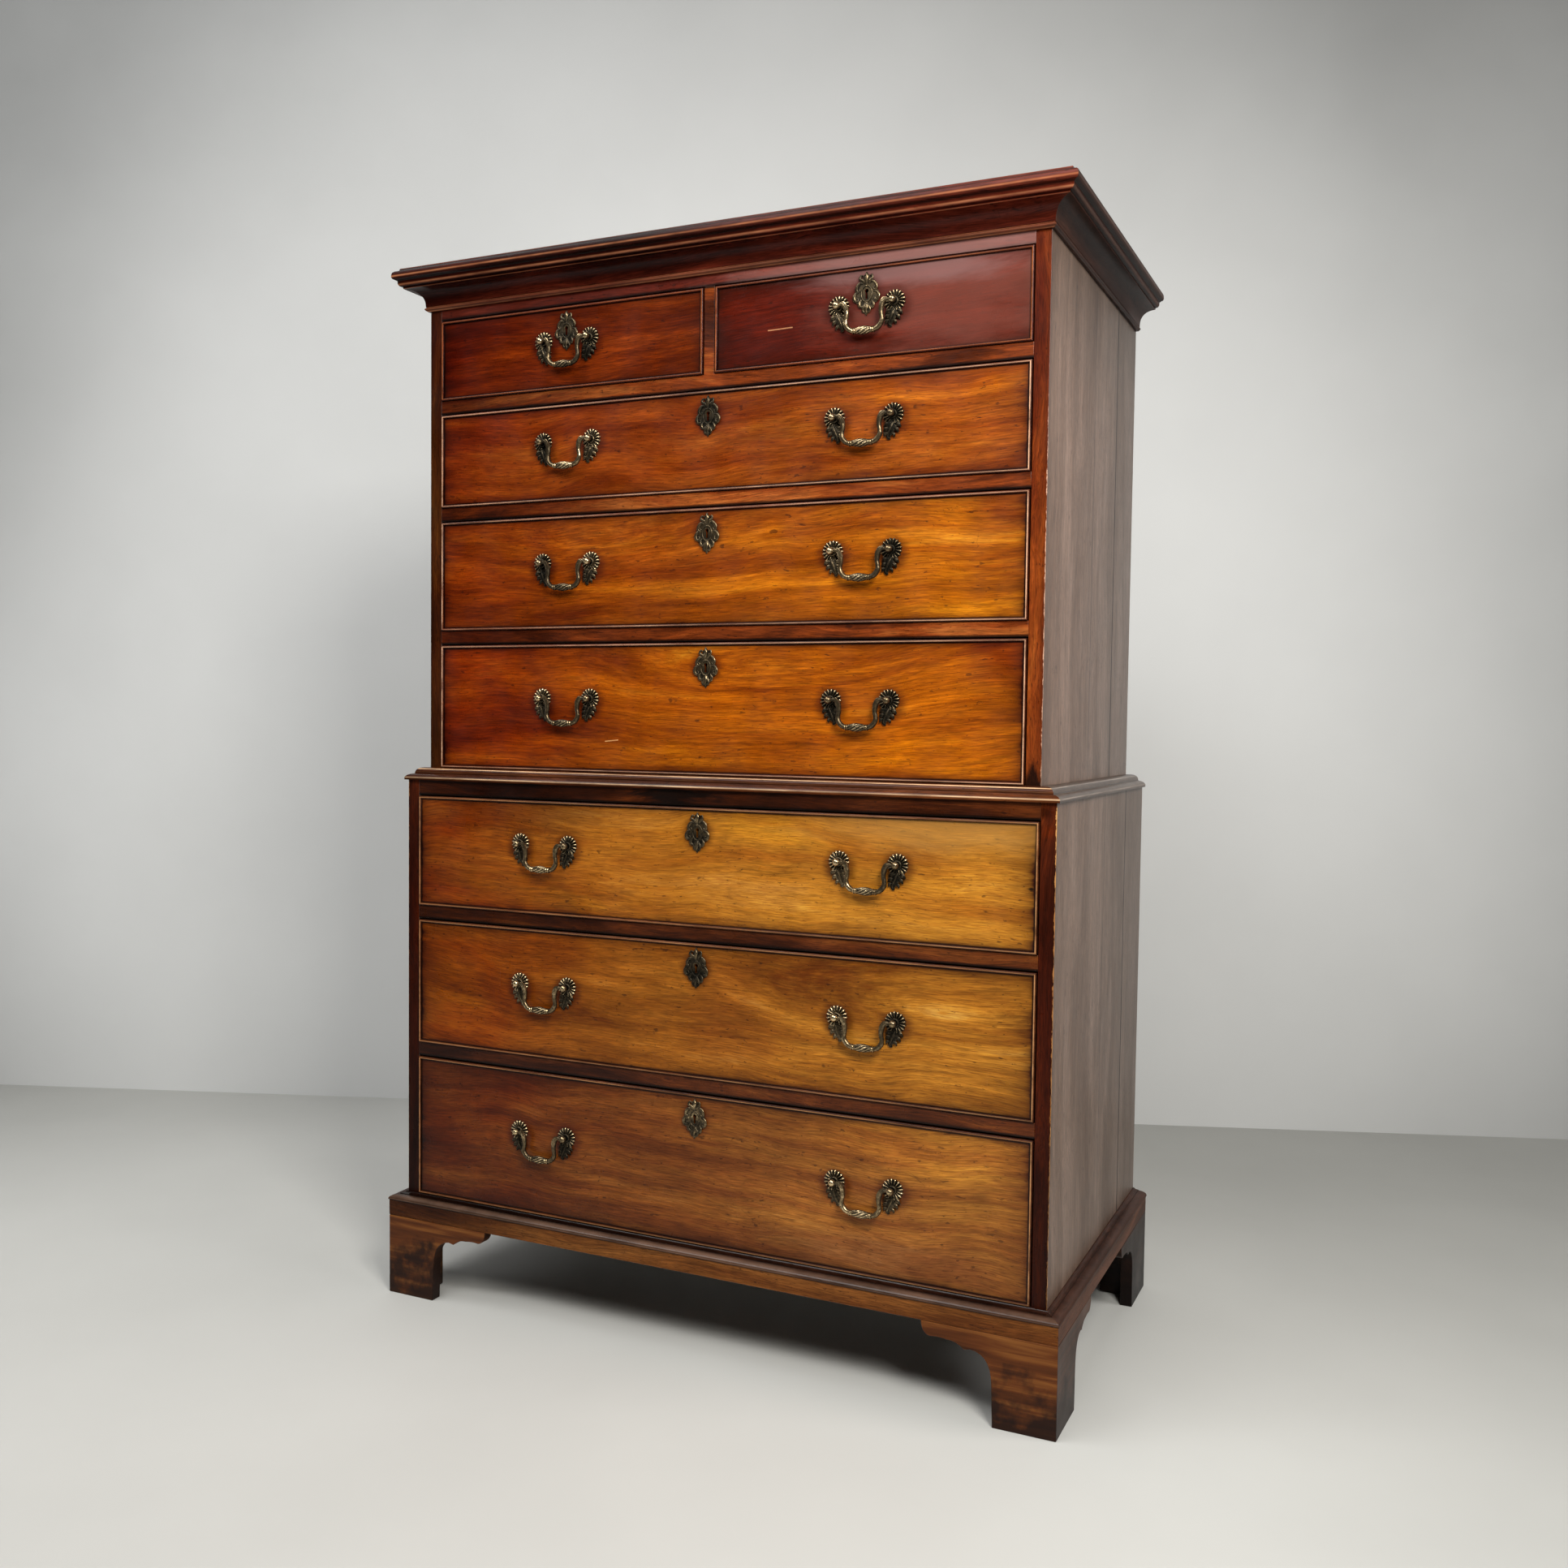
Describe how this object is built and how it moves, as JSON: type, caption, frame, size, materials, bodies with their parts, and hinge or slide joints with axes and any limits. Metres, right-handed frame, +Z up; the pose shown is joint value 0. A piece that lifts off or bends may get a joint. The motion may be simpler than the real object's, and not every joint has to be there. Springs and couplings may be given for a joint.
{
  "type": "chest on chest",
  "caption": "Mahogany chest on chest with bracket feet, moulded waist and cornice, beaded drawers with swinging brass bails, and an upper case that lifts off the lower one.",
  "frame": {"origin": "on the floor, under the middle of the outline in plan", "axes": "+Z up; the drawers face -Y; +X to the right of someone facing the drawers"},
  "size_m": [1.168, 0.616, 1.7356],
  "materials": {
    "mahogany_fronts": "french polished, worn",
    "mahogany_rails": "french polished, dark with age",
    "mahogany_sides": "french polished, faded",
    "mahogany_mouldings": "french polished, dark with age",
    "oak_linings": "bare, aged",
    "pine_backs": "bare, aged",
    "brass": "cast, dark patina with rubbed highlights"
  },
  "bodies": {
    "lower_case": {"lower_side_right": "mahogany_sides", "lower_side_left": "mahogany_sides", "lower_top": "mahogany_rails", "lower_bottom": "oak_linings", "lower_back": "pine_backs", "lower_divider_1": "mahogany_rails", "lower_divider_2": "mahogany_rails", "foot_front_right": "mahogany_mouldings", "foot_front_left": "mahogany_mouldings", "foot_rear_right": "mahogany_mouldings", "foot_rear_left": "mahogany_mouldings", "base_moulding": "mahogany_mouldings", "waist_moulding": "mahogany_mouldings"},
    "upper_case": {"upper_side_right": "mahogany_sides", "upper_side_left": "mahogany_sides", "upper_top": "mahogany_rails", "upper_bottom": "oak_linings", "upper_back": "pine_backs", "upper_divider_1": "mahogany_rails", "upper_divider_2": "mahogany_rails", "upper_divider_3": "mahogany_rails", "cornice": "mahogany_mouldings"},
    "lower_bottom_drawer": {"lower_bottom_drawer_front": "mahogany_fronts", "lower_bottom_drawer_box": "oak_linings", "lower_bottom_drawer_lock": "brass"},
    "lower_bottom_drawer_left_bail": {"lower_bottom_drawer_left_bail": "brass"},
    "lower_bottom_drawer_right_bail": {"lower_bottom_drawer_right_bail": "brass"},
    "lower_middle_drawer": {"lower_middle_drawer_front": "mahogany_fronts", "lower_middle_drawer_box": "oak_linings", "lower_middle_drawer_lock": "brass"},
    "lower_middle_drawer_left_bail": {"lower_middle_drawer_left_bail": "brass"},
    "lower_middle_drawer_right_bail": {"lower_middle_drawer_right_bail": "brass"},
    "lower_top_drawer": {"lower_top_drawer_front": "mahogany_fronts", "lower_top_drawer_box": "oak_linings", "lower_top_drawer_lock": "brass"},
    "lower_top_drawer_left_bail": {"lower_top_drawer_left_bail": "brass"},
    "lower_top_drawer_right_bail": {"lower_top_drawer_right_bail": "brass"},
    "upper_bottom_drawer": {"upper_bottom_drawer_front": "mahogany_fronts", "upper_bottom_drawer_box": "oak_linings", "upper_bottom_drawer_lock": "brass"},
    "upper_bottom_drawer_left_bail": {"upper_bottom_drawer_left_bail": "brass"},
    "upper_bottom_drawer_right_bail": {"upper_bottom_drawer_right_bail": "brass"},
    "upper_middle_drawer": {"upper_middle_drawer_front": "mahogany_fronts", "upper_middle_drawer_box": "oak_linings", "upper_middle_drawer_lock": "brass"},
    "upper_middle_drawer_left_bail": {"upper_middle_drawer_left_bail": "brass"},
    "upper_middle_drawer_right_bail": {"upper_middle_drawer_right_bail": "brass"},
    "upper_top_drawer": {"upper_top_drawer_front": "mahogany_fronts", "upper_top_drawer_box": "oak_linings", "upper_top_drawer_lock": "brass"},
    "upper_top_drawer_left_bail": {"upper_top_drawer_left_bail": "brass"},
    "upper_top_drawer_right_bail": {"upper_top_drawer_right_bail": "brass"},
    "short_left_drawer": {"short_left_drawer_front": "mahogany_fronts", "short_left_drawer_box": "oak_linings", "short_left_drawer_lock": "brass"},
    "short_left_drawer_bail": {"short_left_drawer_bail": "brass"},
    "short_right_drawer": {"short_right_drawer_front": "mahogany_fronts", "short_right_drawer_box": "oak_linings", "short_right_drawer_lock": "brass"},
    "short_right_drawer_bail": {"short_right_drawer_bail": "brass"}
  },
  "joints": [
    {"name": "upper_case_lift", "type": "slide", "parent": "lower_case", "child": "upper_case", "axis": [0, 0, 1], "range_m": [0, 0.1]},
    {"name": "lower_bottom_drawer_slide", "type": "slide", "parent": "lower_case", "child": "lower_bottom_drawer", "axis": [0, -1, 0], "range_m": [0, 0.4]},
    {"name": "lower_bottom_drawer_left_bail_swing", "type": "hinge", "parent": "lower_bottom_drawer", "child": "lower_bottom_drawer_left_bail", "pos_m": [-0.28263, -0.2955, 0.30858], "axis": [-1, 0, 0], "range_deg": [-8, 172]},
    {"name": "lower_bottom_drawer_right_bail_swing", "type": "hinge", "parent": "lower_bottom_drawer", "child": "lower_bottom_drawer_right_bail", "pos_m": [0.28263, -0.2955, 0.30858], "axis": [-1, 0, 0], "range_deg": [-8, 172]},
    {"name": "lower_middle_drawer_slide", "type": "slide", "parent": "lower_case", "child": "lower_middle_drawer", "axis": [0, -1, 0], "range_m": [0, 0.4]},
    {"name": "lower_middle_drawer_left_bail_swing", "type": "hinge", "parent": "lower_middle_drawer", "child": "lower_middle_drawer_left_bail", "pos_m": [-0.28263, -0.2955, 0.55458], "axis": [-1, 0, 0], "range_deg": [-8, 172]},
    {"name": "lower_middle_drawer_right_bail_swing", "type": "hinge", "parent": "lower_middle_drawer", "child": "lower_middle_drawer_right_bail", "pos_m": [0.28263, -0.2955, 0.55458], "axis": [-1, 0, 0], "range_deg": [-8, 172]},
    {"name": "lower_top_drawer_slide", "type": "slide", "parent": "lower_case", "child": "lower_top_drawer", "axis": [0, -1, 0], "range_m": [0, 0.4]},
    {"name": "lower_top_drawer_left_bail_swing", "type": "hinge", "parent": "lower_top_drawer", "child": "lower_top_drawer_left_bail", "pos_m": [-0.28263, -0.2955, 0.78435], "axis": [-1, 0, 0], "range_deg": [-8, 172]},
    {"name": "lower_top_drawer_right_bail_swing", "type": "hinge", "parent": "lower_top_drawer", "child": "lower_top_drawer_right_bail", "pos_m": [0.28263, -0.2955, 0.78435], "axis": [-1, 0, 0], "range_deg": [-8, 172]},
    {"name": "upper_bottom_drawer_slide", "type": "slide", "parent": "upper_case", "child": "upper_bottom_drawer", "axis": [0, -1, 0], "range_m": [0, 0.4]},
    {"name": "upper_bottom_drawer_left_bail_swing", "type": "hinge", "parent": "upper_bottom_drawer", "child": "upper_bottom_drawer_left_bail", "pos_m": [-0.25669, -0.2735, 1.02174], "axis": [-1, 0, 0], "range_deg": [-8, 172]},
    {"name": "upper_bottom_drawer_right_bail_swing", "type": "hinge", "parent": "upper_bottom_drawer", "child": "upper_bottom_drawer_right_bail", "pos_m": [0.25669, -0.2735, 1.02174], "axis": [-1, 0, 0], "range_deg": [-8, 172]},
    {"name": "upper_middle_drawer_slide", "type": "slide", "parent": "upper_case", "child": "upper_middle_drawer", "axis": [0, -1, 0], "range_m": [0, 0.4]},
    {"name": "upper_middle_drawer_left_bail_swing", "type": "hinge", "parent": "upper_middle_drawer", "child": "upper_middle_drawer_left_bail", "pos_m": [-0.25669, -0.2735, 1.24068], "axis": [-1, 0, 0], "range_deg": [-8, 172]},
    {"name": "upper_middle_drawer_right_bail_swing", "type": "hinge", "parent": "upper_middle_drawer", "child": "upper_middle_drawer_right_bail", "pos_m": [0.25669, -0.2735, 1.24068], "axis": [-1, 0, 0], "range_deg": [-8, 172]},
    {"name": "upper_top_drawer_slide", "type": "slide", "parent": "upper_case", "child": "upper_top_drawer", "axis": [0, -1, 0], "range_m": [0, 0.4]},
    {"name": "upper_top_drawer_left_bail_swing", "type": "hinge", "parent": "upper_top_drawer", "child": "upper_top_drawer_left_bail", "pos_m": [-0.25669, -0.2735, 1.4352], "axis": [-1, 0, 0], "range_deg": [-8, 172]},
    {"name": "upper_top_drawer_right_bail_swing", "type": "hinge", "parent": "upper_top_drawer", "child": "upper_top_drawer_right_bail", "pos_m": [0.25669, -0.2735, 1.4352], "axis": [-1, 0, 0], "range_deg": [-8, 172]},
    {"name": "short_left_drawer_slide", "type": "slide", "parent": "upper_case", "child": "short_left_drawer", "axis": [0, -1, 0], "range_m": [0, 0.4]},
    {"name": "short_left_drawer_bail_swing", "type": "hinge", "parent": "short_left_drawer", "child": "short_left_drawer_bail", "pos_m": [-0.25875, -0.2735, 1.59639], "axis": [-1, 0, 0], "range_deg": [-8, 172]},
    {"name": "short_right_drawer_slide", "type": "slide", "parent": "upper_case", "child": "short_right_drawer", "axis": [0, -1, 0], "range_m": [0, 0.4]},
    {"name": "short_right_drawer_bail_swing", "type": "hinge", "parent": "short_right_drawer", "child": "short_right_drawer_bail", "pos_m": [0.25875, -0.2735, 1.59639], "axis": [-1, 0, 0], "range_deg": [-8, 172]}
  ]
}
